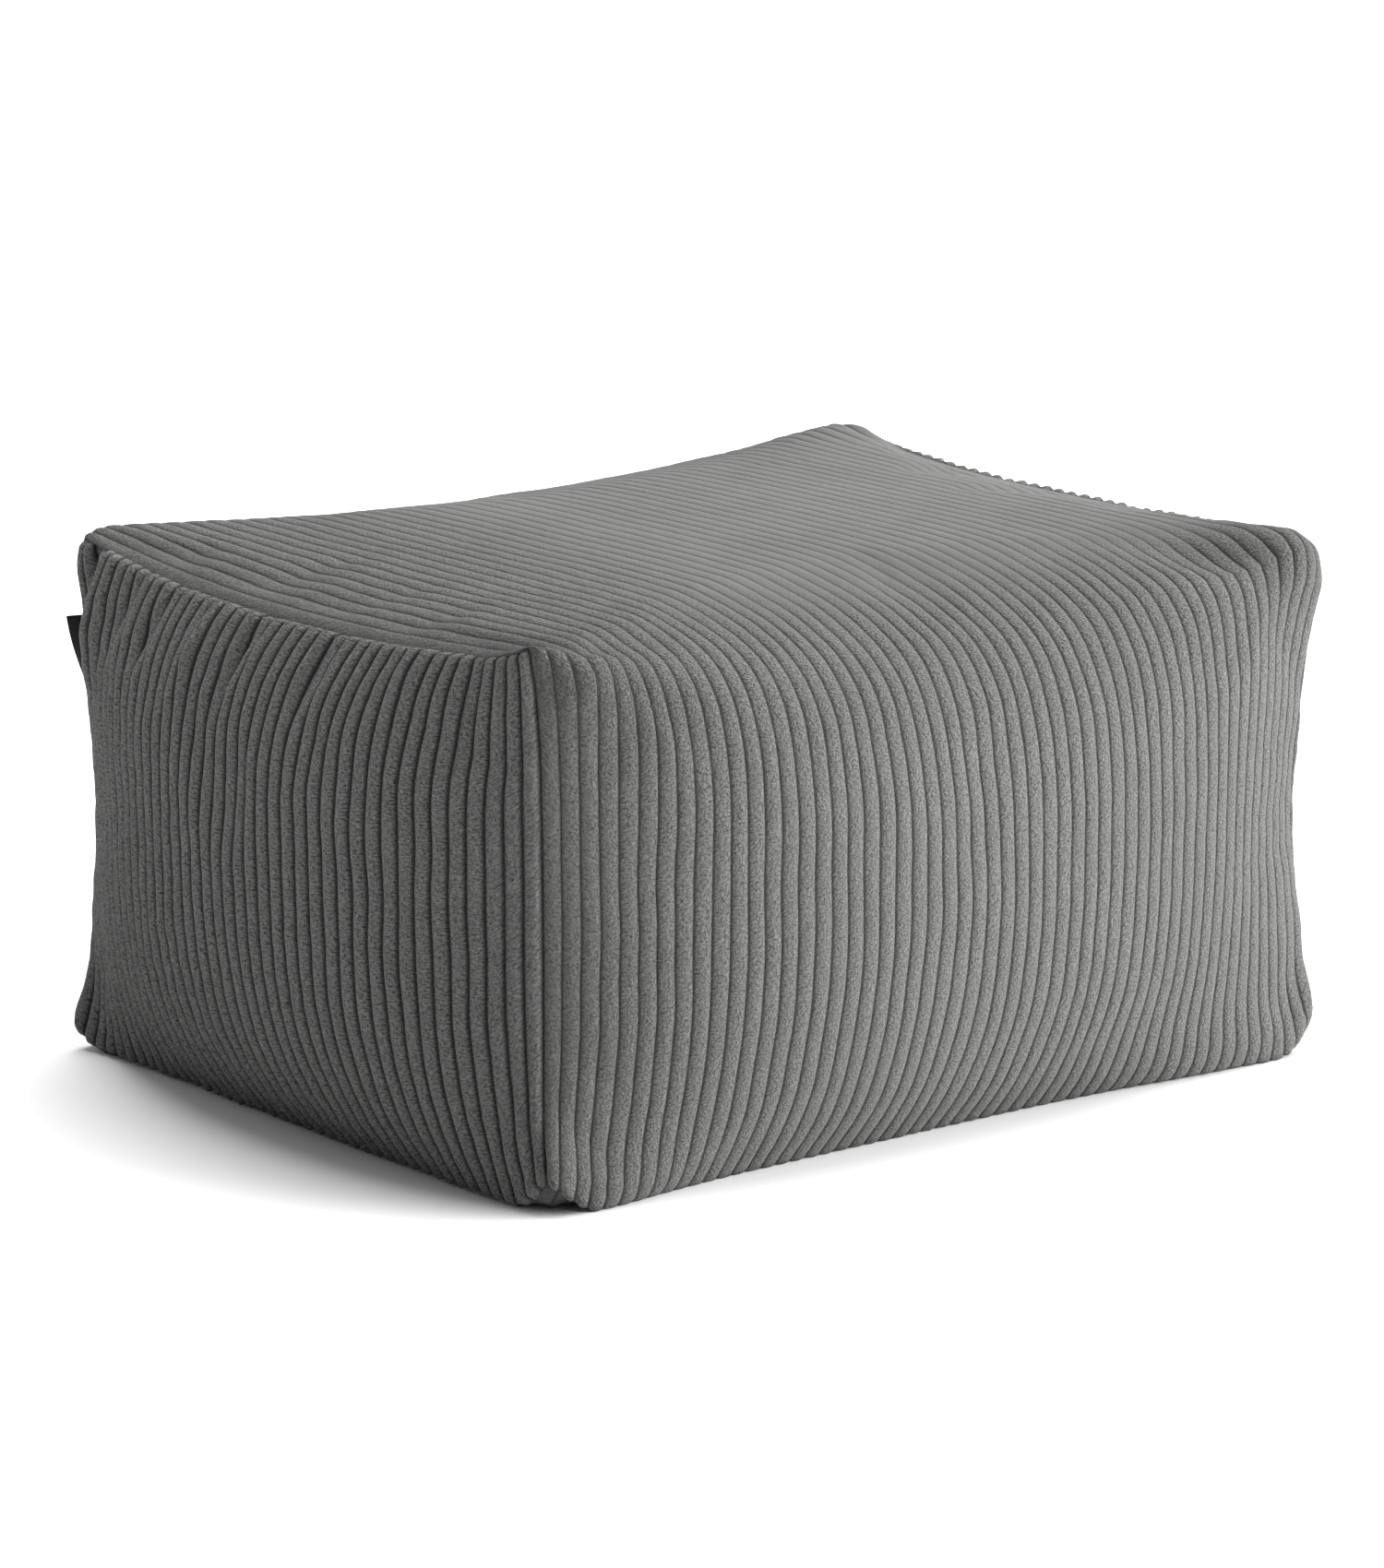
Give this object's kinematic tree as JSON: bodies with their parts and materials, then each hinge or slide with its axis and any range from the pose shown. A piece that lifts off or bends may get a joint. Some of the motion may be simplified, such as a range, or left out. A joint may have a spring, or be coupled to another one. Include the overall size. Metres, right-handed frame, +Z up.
{
  "type": "pouf",
  "caption": "Soft bead-filled rectangular pouf in wide-rib corduroy, with swelling faces, drawn-in sewn edges, pointed corners and a bare folded tab at one seam",
  "frame": {"origin": "on the floor, under the middle of the pouf", "axes": "+X along the length, +Y from the front to the back, +Z up"},
  "size_m": [0.753, 0.6184, 0.3594],
  "materials": {
    "corduroy": "soft wide-rib corduroy, mid grey, short crushed pile",
    "underside": "corduroy of the base, darker grey",
    "tab": "black woven tape, bare"
  },
  "bodies": {
    "root": {"main_band": "corduroy", "end_panel_left": "corduroy", "end_panel_right": "corduroy", "base_panel": "underside", "label_tab": "tab"}
  },
  "joints": []
}
